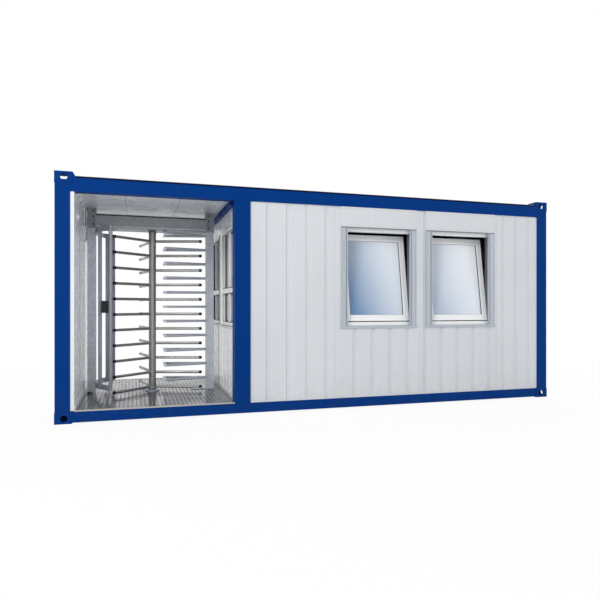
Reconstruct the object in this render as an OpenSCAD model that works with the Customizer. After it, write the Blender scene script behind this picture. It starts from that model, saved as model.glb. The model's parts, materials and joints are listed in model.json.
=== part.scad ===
// Office container with an open turnstile bay at its left end and an office room at its right.
// Origin: centre of the footprint, at the level of the feet. +X runs along the length, towards
// the office, and the windows face -Y. +Z is up. Millimetres.

/* [Overall] */
// Length over the corner fittings
container_l = 6058; // [5450:1:8000]
// Width over the corner fittings
container_w = 2438; // [2400:1:3200]
// Height over the corner fittings
container_h = 2591; // [2450:1:3200]

/* [Corner fittings] */
// Length of a fitting along X
fitting_l = 170; // [150:1:210]
// Width of a fitting along Y
fitting_w = 162; // [145:1:200]
// Height of a fitting
fitting_h = 118; // [105:1:145]
// Side walls of a fitting
fitting_wall = 14; // [8:1:18]
// Top or bottom plate of a fitting
fitting_plate = 20; // [12:1:28]
// Radius of the round side hole
side_hole_r = 35; // [20:1:38]
// Distance of the side hole from the container's end
side_hole_in = 92; // [78:1:98]
// Distance of the side hole below the outer plate's face
side_hole_drop = 55; // [52:1:62]
// Length of the slot in the top or bottom plate
slot_l = 116; // [80:1:120]
// Width of the slots
slot_w = 58; // [30:1:64]
// Height of the aperture in the end face
end_slot_h = 76; // [60:1:84]

/* [Frame] */
// Step of the posts and rails back from the fittings' faces
frame_inset = 4; // [2:1:10]
// Step of the corner posts back from the fittings' inner faces, along X
post_step = 20; // [0:1:40]
// Depth of the rails, front to back
rail_d = 120; // [90:1:140]
// Height of the bottom rails
bottom_rail_h = 110; // [90:1:140]
// Gap under the bottom rails
rail_lift = 10; // [4:1:20]
// Height of the top rails
top_rail_h = 152; // [110:1:190]
// Drop from the top of the fittings to the top of the rails
top_rail_drop = 48; // [40:1:72]
// Width of the middle posts
mid_post_w = 178; // [140:1:215]

/* [Shell] */
// Thickness of the outside walls
wall_t = 60; // [45:1:75]
// Step of the wall panels back from the frame's face
wall_recess = 25; // [22:1:32]
// Thickness of the floor structure
floor_t = 84; // [60:1:100]
// Thickness of the floor coverings
floor_cover_t = 10; // [5:1:25]
// Height of the ceiling above the underside of the top rails
ceiling_lift = 29; // [20:1:60]
// Thickness of the ceiling panels
ceiling_t = 30; // [20:1:40]
// Thickness of the roof sheet with its insulation
roof_t = 30; // [20:1:40]
// Drop of the roof sheet below the top of the rails
roof_drop = 8; // [4:1:12]

/* [Bay] */
// Clear width of the bay between its posts
bay_w = 1707; // [1500:1:2100]
// Step of the bay's lining out past the corner post
lining_proud = 40; // [8:1:50]
// Thickness of the partition
partition_t = 100; // [60:1:120]
// Step of the partition back from the middle post's bay face
partition_setback = 34; // [20:1:50]
// Width of the head beam that stands proud of the partition
head_beam_w = 60; // [40:1:80]
// Height of that head beam
head_beam_h = 56; // [30:1:70]

/* [Office windows] */
// Width over the shutter guides
window_w = 994; // [800:1:1050]
// Height from the sill's underside to the shutter box
window_h = 1209; // [1000:1:1460]
// Gap between the two windows
window_gap = 136; // [100:1:180]
// Wall between the right window and the corner post
window_margin = 660; // [500:1:780]
// Height of the shutter box cover
shutter_box_h = 238; // [150:1:265]
// Width of a shutter guide
guide_w = 87; // [60:1:105]
// Step of the wall's opening in from the guides' outer edges
guide_edge = 18; // [8:1:30]
// Depth of the guides and box covers
guide_t = 20; // [14:1:21]
// Height of the outside sill
sill_h = 25; // [15:1:35]
// Width of the window frame's bars
frame_bar = 48; // [40:1:60]
// Depth of the window frame
frame_t = 60; // [50:1:80]
// Step of the window frame back from the wall's face
frame_setback = 30; // [0:1:40]
// Width of the sash's bars
sash_bar = 72; // [50:1:85]
// Depth of the sash
sash_t = 60; // [40:1:70]
// Clearance of the sash in its frame
sash_gap = 4; // [3:1:8]
// Inward tilt of the sash, in degrees
sash_tilt = 8.7; // [2:0.1:12]
// Thickness of the double glazing
glass_t = 24; // [16:1:32]

/* [Partition windows] */
// Width of each window in the partition
inner_window_w = 915; // [700:1:930]
// Height of those windows
inner_window_h = 1195; // [900:1:1440]
// Wall between the two windows
inner_window_gap = 190; // [120:1:220]
// Drop of the windows' heads below the ceiling
inner_window_drop = 258; // [150:1:310]
// Width of their frames' bars
inner_bar = 50; // [30:1:60]
// Height of the transom's middle above the frame's foot
transom_up = 433; // [300:1:520]
// Height of the transom
transom_h = 75; // [50:1:90]

/* [Rear door] */
// Width over the door frame
door_w = 960; // [850:1:1200]
// Height over the door frame
door_h = 2080; // [1900:1:2240]
// Distance from the middle post to the door frame
door_in = 1200; // [300:1:1500]
// Width of the door frame's bars
door_bar = 50; // [35:1:60]
// Thickness of the door leaf
leaf_t = 44; // [38:1:54]
// Clearance of the leaf in its frame
leaf_gap = 4; // [2:1:6]
// Lap of the leaf over the frame
leaf_lap = 14; // [8:1:18]
// Thickness of that lap
leaf_lap_t = 14; // [8:1:18]

/* [Turnstile portal] */
// Gap between the bay's lining and the portal
portal_gap = 38; // [10:1:80]
// Gap between the portal and the partition
partition_gap = 109; // [70:1:160]
// Side of the square portal posts
portal_post = 100; // [70:1:110]
// Depth of the head box, front to back
head_box_d = 300; // [200:1:360]
// Height of the head box
head_box_h = 165; // [130:1:200]
// Gap between the head box and the ceiling
head_box_drop = 85; // [60:1:110]
// Thickness of the foot plates
foot_t = 10; // [6:1:14]
// Reach of the comb post's foot plate towards the rotor
foot_reach = 190; // [100:1:240]

/* [Rotor] */
// Diameter of the rotor's column
column_d = 89; // [70:1:110]
// Diameter of the bearing pins
pin_d = 40; // [25:1:48]
// Running clearance of the pins, on the radius
pin_gap = 0.1; // [0.05:0.01:0.1]
// Depth of the pins in their bearings
pin_l = 40; // [20:1:60]
// Clearance of the column above the floor bearing and under the head box
column_gap = 5; // [5:1:8]
// Thickness of the floor bearing
bearing_t = 15; // [10:1:18]
// Number of arms in a wing
arm_count = 11; // [7:1:12]
// Diameter of an arm
arm_d = 34; // [25:1:42]
// Clearance between the arms' tips and the guard cage's tubes
arm_gap = 27.5; // [15:0.5:60]
// Height of the lowest arm above the floor
arm_up = 51; // [40:1:70]
// Plan angle of the first wing
wing_angle = 343; // [330:1:358]

/* [Comb] */
// Diameter of the comb's loops
comb_d = 30; // [22:1:40]
// Step of a loop's end bar out past its legs
comb_end_lip = 3; // [1:1:5]
// Clearance between the comb's loops and the rotor's column
comb_gap = 92.5; // [40:0.5:130]
// Width of a loop at its rotor end
comb_spread = 300; // [200:1:340]
// Width of a loop at the post
comb_root = 50; // [40:1:56]
// Drop of the highest loop below the head box
comb_drop = 40; // [24:1:60]

/* [Guard cage] */
// Step of the guard rings' middle line out past the portal posts' inner faces
guard_step = 3; // [0:1:6]
// Height of a ring's band
guard_band_h = 60; // [40:1:76]
// Thickness of a ring's band
guard_band_t = 12; // [6:1:16]
// Height of the lower ring above the floor
guard_low_up = 115; // [80:1:160]
// Drop of the upper ring below the head box
guard_high_drop = 40; // [40:1:90]
// Diameter of the upright tubes
guard_tube_d = 45; // [34:1:50]

/* [Card reader] */
// Width of the reader
reader_w = 84; // [60:1:88]
// Height of the reader
reader_h = 143; // [100:1:180]
// Depth of the reader
reader_t = 66; // [50:1:75]
// Height of the reader's middle above the floor
reader_up = 1070; // [900:1:1200]
// Height of the bar that carries the reader
reader_bar_h = 40; // [25:1:60]
// Thickness of that bar
reader_bar_t = 8; // [5:1:12]

/* [Hidden] */
$fn = 64;
ring_fn = 240;
eps = 1;

half_l = container_l / 2;
half_w = container_w / 2;
frame_x = half_l - frame_inset;
frame_y = half_w - frame_inset;
fitting_in_x = half_l - fitting_l;
post_in_x = fitting_in_x + post_step;
post_in_y = half_w - fitting_w;
rail_in_x = frame_x - rail_d;
rail_in_y = frame_y - rail_d;
deck_z = rail_lift + bottom_rail_h;
floor_z = deck_z + floor_cover_t;
top_rail_z1 = container_h - top_rail_drop;
top_rail_z0 = top_rail_z1 - top_rail_h;
ceiling_z = top_rail_z0 + ceiling_lift;
roof_z1 = top_rail_z1 - roof_drop;

wall_x_out = frame_x - wall_recess;
wall_x_in = wall_x_out - wall_t;
wall_y_out = frame_y - wall_recess;
wall_y_in = wall_y_out - wall_t;

mid_x0 = -post_in_x + bay_w;
mid_x1 = mid_x0 + mid_post_w;
partition_x0 = mid_x0 + partition_setback;
partition_x1 = partition_x0 + partition_t;
lining_x = -post_in_x + lining_proud;

window_z1 = top_rail_z0 - shutter_box_h;
window_z0 = window_z1 - window_h;
cut_w = window_w - 2 * guide_edge;
window_y = -wall_y_out + frame_setback;
cut_z0 = window_z0 + sill_h;
sash_dip = sash_t * sin(sash_tilt);
sash_w = cut_w - 2 * (frame_bar + sash_gap);
sash_h = window_z1 - cut_z0 - 2 * (frame_bar + sash_gap) - sash_dip;

inner_z1 = ceiling_z - inner_window_drop;
inner_z0 = inner_z1 - inner_window_h;
door_x0 = mid_x1 + door_in;
door_z1 = deck_z + door_h;

portal_outer = (partition_x0 - partition_gap - lining_x - portal_gap) / 2;
portal_half = portal_outer - portal_post / 2;
portal_inner = portal_outer - portal_post;
rotor_x = lining_x + portal_gap + portal_outer;
guard_r = portal_inner + guard_step;
arm_reach = guard_r - guard_tube_d / 2 - arm_gap;
comb_end_d = comb_d + 2 * comb_end_lip;
comb_in = (column_d + comb_end_d) / 2 + comb_gap;
head_z1 = ceiling_z - head_box_drop;
head_z0 = head_z1 - head_box_h;
bearing_z1 = floor_z + bearing_t;
arm_z0 = floor_z + arm_up;
arm_pitch = (head_z0 - comb_drop - arm_z0) / (arm_count - 0.5);
column_z0 = bearing_z1 + column_gap;
column_z1 = head_z0 - column_gap;

// Plan angles of the guard cage's ends and tubes, from +X
front_guard = [180, 226];
front_tubes = [205, 224];
rear_guard = [134, 180];
rear_tubes = [136, 146];

frame_blue = [0.05, 0.22, 0.52];
panel_white = [0.84, 0.86, 0.88];
aluminium_grey = [0.62, 0.66, 0.70];
frame_white = [0.93, 0.94, 0.95];
steel_grey = [0.60, 0.62, 0.64];
glass_blue = [0.35, 0.47, 0.62];
plastic_black = [0.06, 0.06, 0.07];

// A block between two opposite corners
module block(low, high) {
    translate(low)
        cube(high - low);
}

// The children and their mirror image across the plane with this normal
module mirrored(normal) {
    children();
    mirror(normal)
        children();
}

// A corner fitting of the right end's front: hollow, open inwards, with its slotted plate at the top
module fitting() {
    slot_mid = [half_l - fitting_l / 2, -half_w + fitting_w / 2];
    hollow_mid_z = (fitting_wall + fitting_h - fitting_plate) / 2;
    difference() {
        block([half_l - fitting_l, -half_w, 0], [half_l, -half_w + fitting_w, fitting_h]);
        block([half_l - fitting_l + fitting_wall, -half_w + fitting_wall, fitting_wall],
              [half_l - fitting_wall, -half_w + fitting_w + eps, fitting_h - fitting_plate]);
        translate([half_l - side_hole_in, -half_w - eps, fitting_h - side_hole_drop])
            rotate([-90, 0, 0])
                cylinder(r = side_hole_r, h = fitting_wall + 2 * eps);
        translate([slot_mid[0], slot_mid[1], fitting_h - fitting_plate - eps])
            slot_hole(slot_l, slot_w, fitting_plate + 2 * eps);
        translate([half_l - fitting_wall - eps, slot_mid[1], hollow_mid_z])
            rotate([0, 90, 0])
                slot_hole(end_slot_h, slot_w, fitting_wall + 2 * eps);
    }
}

// A slot with round ends, along X
module slot_hole(length, width, depth) {
    run = (length - width) / 2;
    for (side = [-1, 1])
        translate([side * run, 0, 0])
            cylinder(d = width, h = depth);
    translate([-run, -width / 2, 0])
        cube([2 * run, width, depth]);
}

module four_fittings() {
    mirrored([1, 0, 0])
        mirrored([0, 1, 0])
            fitting();
}

module bottom_corner_fittings() {
    color(frame_blue)
        translate([0, 0, fitting_h])
            mirror([0, 0, 1])
                four_fittings();
}

module top_corner_fittings() {
    color(frame_blue)
        translate([0, 0, container_h - fitting_h])
            four_fittings();
}

// A corner post; side_x and side_y say which corner
module corner_post(side_x, side_y) {
    color(frame_blue)
        scale([side_x, side_y, 1])
            block([post_in_x, post_in_y, fitting_h], [frame_x, frame_y, container_h - fitting_h]);
}

module middle_post(side_y) {
    color(frame_blue)
        scale([1, side_y, 1])
            block([mid_x0, post_in_y, deck_z], [mid_x1, frame_y, top_rail_z0]);
}

// A rail along the front or rear, between two heights, cut back where it meets the fittings
module long_rail(side_y, z0, z1) {
    color(frame_blue)
        scale([1, side_y, 1])
            difference() {
                block([-post_in_x, rail_in_y, z0], [post_in_x, frame_y, z1]);
                mirrored([1, 0, 0]) {
                    block([fitting_in_x, post_in_y, 0], [half_l, half_w, max(fitting_h, deck_z) + eps]);
                    block([fitting_in_x, post_in_y, container_h - fitting_h], [half_l, half_w, container_h]);
                }
            }
}

// The rails across both ends, between two heights
module end_rails(z0, z1) {
    color(frame_blue)
        mirrored([1, 0, 0])
            block([rail_in_x, -post_in_y, z0], [frame_x, post_in_y, z1]);
}

// A deck that fills the frame between its rails and stays clear of the corners
module deck(z0, z1) {
    block([-fitting_in_x, -rail_in_y, z0], [fitting_in_x, rail_in_y, z1]);
    block([-rail_in_x, -post_in_y, z0], [rail_in_x, post_in_y, z1]);
}

module floor_structure() {
    color("dimgray")
        deck(deck_z - floor_t, deck_z);
}

module bay_floor_plate() {
    color(steel_grey) {
        block([lining_x, -wall_y_out, deck_z], [mid_x0, wall_y_out, floor_z]);
        block([lining_x, -post_in_y, deck_z], [partition_x0, post_in_y, floor_z]);
    }
}

module office_floor() {
    color("slategray") {
        block([mid_x1, -wall_y_in, deck_z], [post_in_x, wall_y_in, floor_z]);
        block([partition_x1, -post_in_y, deck_z], [wall_x_in, post_in_y, floor_z]);
    }
}

module ceiling_panels() {
    color(panel_white)
        deck(ceiling_z, ceiling_z + ceiling_t);
}

module roof_sheet() {
    color("lightgray")
        deck(roof_z1 - roof_t, roof_z1);
}

module end_wall(side_x) {
    color(panel_white)
        scale([side_x, 1, 1])
            block([wall_x_in, -post_in_y, deck_z], [wall_x_out, post_in_y, top_rail_z0]);
}

// A long office wall from the middle post to the right corner post
module office_wall(side_y) {
    scale([1, side_y, 1])
        block([mid_x1, wall_y_in, deck_z], [post_in_x, wall_y_out, top_rail_z0]);
}

// Left edge of an office window; the right window is number 0
function window_x(i) = post_in_x - window_margin - window_w - i * (window_w + window_gap);

// The children once for each office window, moved to its left edge
module each_window() {
    for (i = [0, 1])
        translate([window_x(i), 0, 0])
            children();
}

module front_wall() {
    color(panel_white)
        difference() {
            office_wall(-1);
            each_window()
                block([guide_edge, -wall_y_out - eps, cut_z0],
                      [guide_edge + cut_w, -wall_y_in + eps, window_z1]);
        }
}

module rear_wall() {
    color(panel_white)
        difference() {
            office_wall(1);
            block([door_x0, wall_y_in - eps, deck_z - eps],
                  [door_x0 + door_w, wall_y_out + eps, door_z1]);
        }
}

module bay_lining() {
    color(panel_white) {
        block([-wall_x_in, -post_in_y, deck_z], [lining_x, post_in_y, top_rail_z0]);
        block([-rail_in_x, -post_in_y, deck_z], [lining_x, post_in_y, ceiling_z]);
        block([-post_in_x, -wall_y_out, deck_z], [lining_x, wall_y_out, top_rail_z0]);
    }
}

// The children once for each partition window, moved to its near edge
module each_inner_window() {
    for (y = [-inner_window_gap / 2 - inner_window_w, inner_window_gap / 2])
        translate([0, y, 0])
            children();
}

module partition() {
    color(panel_white)
        difference() {
            block([partition_x0, -post_in_y, deck_z], [partition_x1, post_in_y, ceiling_z]);
            each_inner_window()
                block([partition_x0 - eps, 0, inner_z0], [partition_x1 + eps, inner_window_w, inner_z1]);
        }
}

module partition_head_beam() {
    color(frame_blue)
        block([partition_x0 - head_beam_w, -post_in_y, ceiling_z - head_beam_h],
              [partition_x0, post_in_y, ceiling_z]);
}

// The two panes of one partition window: each is [foot, head]
function inner_panes() = [
    [inner_z0 + inner_bar, inner_z0 + transom_up - transom_h / 2],
    [inner_z0 + transom_up + transom_h / 2, inner_z1 - inner_bar]
];

module partition_window_frames() {
    color(frame_white)
        each_inner_window()
            difference() {
                block([partition_x0, 0, inner_z0], [partition_x1, inner_window_w, inner_z1]);
                for (pane = inner_panes())
                    block([partition_x0 - eps, inner_bar, pane[0]],
                          [partition_x1 + eps, inner_window_w - inner_bar, pane[1]]);
            }
}

module partition_window_glass() {
    glass_x = (partition_x0 + partition_x1 - glass_t) / 2;
    color(glass_blue)
        each_inner_window()
            for (pane = inner_panes())
                block([glass_x, inner_bar, pane[0]],
                      [glass_x + glass_t, inner_window_w - inner_bar, pane[1]]);
}

module window_frames() {
    color(frame_white)
        each_window()
            difference() {
                block([guide_edge, window_y, cut_z0],
                      [guide_edge + cut_w, window_y + frame_t, window_z1]);
                block([guide_edge + frame_bar, window_y - eps, cut_z0 + frame_bar],
                      [guide_edge + cut_w - frame_bar, window_y + frame_t + eps, window_z1 - frame_bar]);
            }
}

// The children in a sash's own frame: its outer lower left corner, tilted inwards at the top
module in_sash() {
    each_window()
        translate([guide_edge + frame_bar + sash_gap, window_y + sash_gap,
                   cut_z0 + frame_bar + sash_gap + sash_dip])
            rotate([-sash_tilt, 0, 0])
                children();
}

module window_sashes() {
    color(frame_white)
        in_sash()
            difference() {
                cube([sash_w, sash_t, sash_h]);
                block([sash_bar, -eps, sash_bar], [sash_w - sash_bar, sash_t + eps, sash_h - sash_bar]);
            }
}

module window_glass() {
    glass_y = (sash_t - glass_t) / 2;
    color(glass_blue)
        in_sash()
            block([sash_bar, glass_y, sash_bar], [sash_w - sash_bar, glass_y + glass_t, sash_h - sash_bar]);
}

module shutter_guides() {
    color(aluminium_grey)
        each_window()
            for (x = [0, window_w - guide_w])
                block([x, -wall_y_out - guide_t, cut_z0], [x + guide_w, -wall_y_out, window_z1]);
}

module window_sills() {
    color(aluminium_grey)
        each_window()
            block([0, -wall_y_out - guide_t, window_z0], [window_w, -wall_y_out, cut_z0]);
}

module shutter_box_covers() {
    color(panel_white)
        each_window()
            block([0, -wall_y_out - guide_t, window_z1], [window_w, -wall_y_out, top_rail_z0]);
}

module door_frame() {
    color(frame_white)
        difference() {
            block([door_x0, wall_y_in, deck_z], [door_x0 + door_w, wall_y_out, door_z1]);
            block([door_x0 + door_bar, wall_y_in - eps, deck_z + door_bar],
                  [door_x0 + door_w - door_bar, wall_y_out + eps, door_z1 - door_bar]);
        }
}

module door_leaf() {
    inner = door_bar + leaf_gap;
    outer = door_bar - leaf_lap;
    color(panel_white) {
        block([door_x0 + inner, wall_y_out - leaf_t, deck_z + inner],
              [door_x0 + door_w - inner, wall_y_out, door_z1 - inner]);
        block([door_x0 + outer, wall_y_out, deck_z + outer],
              [door_x0 + door_w - outer, wall_y_out + leaf_lap_t, door_z1 - outer]);
    }
}

// The children around the rotor's axis
module at_rotor() {
    translate([rotor_x, 0, 0])
        children();
}

module portal_posts() {
    half_post = portal_post / 2;
    foot_y = 0.75 * portal_post;
    color(steel_grey)
        at_rotor() {
            for (side = [-1, 1]) {
                translate([side * portal_half - half_post, -half_post, floor_z])
                    cube([portal_post, portal_post, head_z1 - floor_z]);
                translate([side * portal_half - half_post, -foot_y, floor_z])
                    cube([portal_post, 2 * foot_y, foot_t]);
            }
            block([portal_inner - foot_reach, -foot_y, floor_z], [portal_inner, foot_y, floor_z + foot_t]);
        }
}

module portal_head_box() {
    color(steel_grey)
        at_rotor()
            difference() {
                block([-portal_inner, -head_box_d / 2, head_z0], [portal_inner, head_box_d / 2, head_z1]);
                translate([0, 0, head_z0 - eps])
                    cylinder(r = pin_d / 2 + pin_gap, h = pin_l + 2 * column_gap + eps);
            }
}

module rotor_floor_bearing() {
    color(steel_grey)
        at_rotor()
            difference() {
                translate([0, 0, floor_z])
                    cylinder(d = 2 * column_d, h = bearing_t);
                translate([0, 0, floor_z - eps])
                    cylinder(r = pin_d / 2 + pin_gap, h = bearing_t + 2 * eps);
            }
}

// One loop of the comb: two legs from the post that spread to a stouter bar at the rotor end
module comb_loop() {
    leg_x = portal_inner - comb_in;
    leg_y = (comb_spread - comb_root) / 2;
    intersection() {
        mirrored([0, 1, 0])
            translate([comb_in, comb_spread / 2, 0])
                rotate([0, 90, -atan2(leg_y, leg_x)])
                    cylinder(d = comb_d, h = norm([leg_x, leg_y]) + comb_d);
        block([0, -comb_spread, -comb_d], [portal_inner, comb_spread, comb_d]);
    }
    translate([comb_in, (comb_end_d + comb_spread) / 2, 0])
        rotate([90, 0, 0])
            cylinder(d = comb_end_d, h = comb_spread + comb_end_d);
}

module turnstile_comb() {
    color(steel_grey)
        at_rotor()
            for (i = [0 : arm_count - 1])
                translate([0, 0, arm_z0 + (i + 0.5) * arm_pitch])
                    comb_loop();
}

// A guard cage about the rotor's axis: two bent bands with upright tubes between them, cut clear of the post
module guard_cage(span, tubes) {
    ring_z = [floor_z + guard_low_up, head_z0 - guard_high_drop];
    difference() {
        union() {
            for (z = ring_z)
                translate([0, 0, z - guard_band_h / 2])
                    rotate([0, 0, span[0]])
                        rotate_extrude(angle = span[1] - span[0], $fn = ring_fn)
                            translate([guard_r - guard_band_t / 2, 0])
                                square([guard_band_t, guard_band_h]);
            for (a = tubes)
                rotate([0, 0, a])
                    translate([guard_r, 0, ring_z[0] - guard_band_h / 2])
                        cylinder(d = guard_tube_d, h = ring_z[1] - ring_z[0] + guard_band_h);
        }
        block([-portal_outer, -portal_post / 2, floor_z], [-portal_inner, portal_post / 2, head_z0]);
    }
}

// The bar between the two front tubes that carries the card reader
module reader_bar() {
    middle = (front_tubes[0] + front_tubes[1]) / 2;
    half_angle = (front_tubes[1] - front_tubes[0]) / 2;
    rotate([0, 0, middle])
        translate([guard_r * cos(half_angle), 0, floor_z + reader_up])
            cube([reader_bar_t, 2 * guard_r * sin(half_angle), reader_bar_h], center = true);
}

module front_guard_cage() {
    color(steel_grey)
        at_rotor() {
            guard_cage(front_guard, front_tubes);
            reader_bar();
        }
}

module rear_guard_cage() {
    color(steel_grey)
        at_rotor()
            guard_cage(rear_guard, rear_tubes);
}

module card_reader() {
    middle = (front_tubes[0] + front_tubes[1]) / 2;
    half_angle = (front_tubes[1] - front_tubes[0]) / 2;
    reader_r = guard_r * cos(half_angle);
    color(plastic_black)
        at_rotor()
            difference() {
                translate([reader_r * cos(middle) - reader_w / 2, reader_r * sin(middle) - reader_t,
                           floor_z + reader_up - reader_h / 2])
                    cube([reader_w, reader_t, reader_h]);
                reader_bar();
            }
}

module rotor_column() {
    color(steel_grey)
        at_rotor() {
            translate([0, 0, column_z0])
                cylinder(d = column_d, h = column_z1 - column_z0);
            translate([0, 0, floor_z + column_gap])
                cylinder(d = pin_d, h = bearing_t);
            translate([0, 0, column_z1])
                cylinder(d = pin_d, h = pin_l + column_gap);
        }
}

// One wing of the rotor: a ladder of round arms whose roots meet the column
module rotor_wing(number) {
    color(steel_grey)
        at_rotor()
            rotate([0, 0, wing_angle - 120 * number])
                for (i = [0 : arm_count - 1])
                    translate([0, 0, arm_z0 + i * arm_pitch])
                        difference() {
                            rotate([0, 90, 0])
                                cylinder(d = arm_d, h = arm_reach);
                            cylinder(d = column_d, h = 2 * arm_d, center = true);
                        }
}

bottom_corner_fittings();
top_corner_fittings();
corner_post(-1, -1);  // front_left_post
middle_post(-1);  // front_middle_post
corner_post(1, -1);  // front_right_post
corner_post(-1, 1);  // rear_left_post
middle_post(1);  // rear_middle_post
corner_post(1, 1);  // rear_right_post
long_rail(-1, rail_lift, deck_z);  // front_bottom_rail
long_rail(1, rail_lift, deck_z);  // rear_bottom_rail
end_rails(rail_lift, deck_z);  // end_bottom_rails
long_rail(-1, top_rail_z0, top_rail_z1);  // front_top_rail
long_rail(1, top_rail_z0, top_rail_z1);  // rear_top_rail
end_rails(top_rail_z0, top_rail_z1);  // end_top_rails
floor_structure();
bay_floor_plate();
office_floor();
ceiling_panels();
roof_sheet();
end_wall(-1);  // left_end_wall
end_wall(1);  // right_end_wall
front_wall();
rear_wall();
bay_lining();
partition();
partition_head_beam();
partition_window_frames();
partition_window_glass();
window_frames();
window_sashes();
window_glass();
shutter_guides();
window_sills();
shutter_box_covers();
door_frame();
door_leaf();
portal_posts();
portal_head_box();
rotor_floor_bearing();
turnstile_comb();
front_guard_cage();
rear_guard_cage();
card_reader();
rotor_column();
rotor_wing(0);  // rotor_wing_right
rotor_wing(2);  // rotor_wing_rear
rotor_wing(1);  // rotor_wing_left
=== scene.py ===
import json
import math

import bmesh
import bpy
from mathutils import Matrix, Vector


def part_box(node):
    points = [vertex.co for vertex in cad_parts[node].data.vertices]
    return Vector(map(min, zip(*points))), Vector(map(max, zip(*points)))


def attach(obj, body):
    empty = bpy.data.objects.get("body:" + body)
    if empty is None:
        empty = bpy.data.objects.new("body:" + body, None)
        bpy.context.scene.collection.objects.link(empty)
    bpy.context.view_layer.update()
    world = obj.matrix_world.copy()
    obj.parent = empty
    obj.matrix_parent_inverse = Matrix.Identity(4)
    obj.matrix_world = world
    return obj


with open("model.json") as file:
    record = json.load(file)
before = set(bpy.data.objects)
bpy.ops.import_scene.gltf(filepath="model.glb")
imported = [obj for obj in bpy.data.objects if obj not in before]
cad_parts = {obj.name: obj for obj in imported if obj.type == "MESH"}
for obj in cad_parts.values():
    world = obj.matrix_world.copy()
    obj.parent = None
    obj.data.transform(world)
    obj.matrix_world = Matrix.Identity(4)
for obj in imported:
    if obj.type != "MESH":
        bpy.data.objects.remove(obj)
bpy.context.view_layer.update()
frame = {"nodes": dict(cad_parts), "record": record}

STATIC = "container"
ROTOR = "rotor"


# ---------------------------------------------------------------- camera, light and stage

CAMERA_AT = (-2.247, -7.288, 1.206)
CAMERA_TURN = math.radians(-16.8)
CAMERA_LENS = 32.94
CAMERA_SHIFT_UP = 0.0106


def add_camera():
    data = bpy.data.cameras.new("camera")
    data.lens = CAMERA_LENS
    data.sensor_width = 36.0
    data.shift_y = CAMERA_SHIFT_UP
    camera = bpy.data.objects.new("camera", data)
    camera.location = CAMERA_AT
    camera.rotation_euler = (math.radians(90), 0, CAMERA_TURN)
    bpy.context.scene.collection.objects.link(camera)
    bpy.context.scene.camera = camera


# Camera, glossy and transmission rays see the floor as this share of glow up to the near distance,
# and as glow alone from the far distance on, in metres
GLOW_NEAR, GLOW_FAR, GLOW_SHARE = 3.0, 9.0, 0.90
FLOOR_R = 60
AMBIENT = 0.72
# Name, place, aim, size and power of each lamp
LAMPS = (
    ("key", (-8.5, -8.5, 6.5), (0, 0, 1.2), 4.0, 520),
    ("fill", (10, -9, 5), (0, 0, 1.2), 6.0, 100),
    ("rear", (6, 10, 6), (-1, 0, 1.2), 5.0, 620),
)
MAP_SOCKETS = ("From Min", "From Max", "To Min", "To Max")


def add_lamp(name, at, aim, size, power):
    data = bpy.data.lights.new(name, "AREA")
    data.shape = "DISK"
    data.size = size
    data.energy = power
    lamp = bpy.data.objects.new(name, data)
    lamp.location = at
    lamp.rotation_euler = (Vector(aim) - Vector(at)).to_track_quat("-Z", "Y").to_euler()
    bpy.context.scene.collection.objects.link(lamp)


def background_rays(nodes, links):
    """A socket that is 1 for camera, glossy and transmission rays and 0 for the rest"""
    path = nodes.new("ShaderNodeLightPath")
    glossy = nodes.new("ShaderNodeMath")
    glossy.operation = "MAXIMUM"
    links.new(path.outputs["Is Camera Ray"], glossy.inputs[0])
    links.new(path.outputs["Is Glossy Ray"], glossy.inputs[1])
    both = nodes.new("ShaderNodeMath")
    both.operation = "MAXIMUM"
    links.new(glossy.outputs[0], both.inputs[0])
    links.new(path.outputs["Is Transmission Ray"], both.inputs[1])
    return both.outputs[0]


def add_world():
    world = bpy.data.worlds.new("studio")
    bpy.context.scene.world = world
    world.use_nodes = True
    nodes, links = world.node_tree.nodes, world.node_tree.links
    nodes.clear()
    ambient = nodes.new("ShaderNodeBackground")
    ambient.inputs["Color"].default_value = (0.97, 0.985, 1.0, 1)
    ambient.inputs["Strength"].default_value = AMBIENT
    backdrop = nodes.new("ShaderNodeBackground")
    backdrop.inputs["Color"].default_value = (1, 1, 1, 1)
    mix = nodes.new("ShaderNodeMixShader")
    output = nodes.new("ShaderNodeOutputWorld")
    links.new(background_rays(nodes, links), mix.inputs[0])
    links.new(ambient.outputs[0], mix.inputs[1])
    links.new(backdrop.outputs[0], mix.inputs[2])
    links.new(mix.outputs[0], output.inputs["Surface"])


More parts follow.
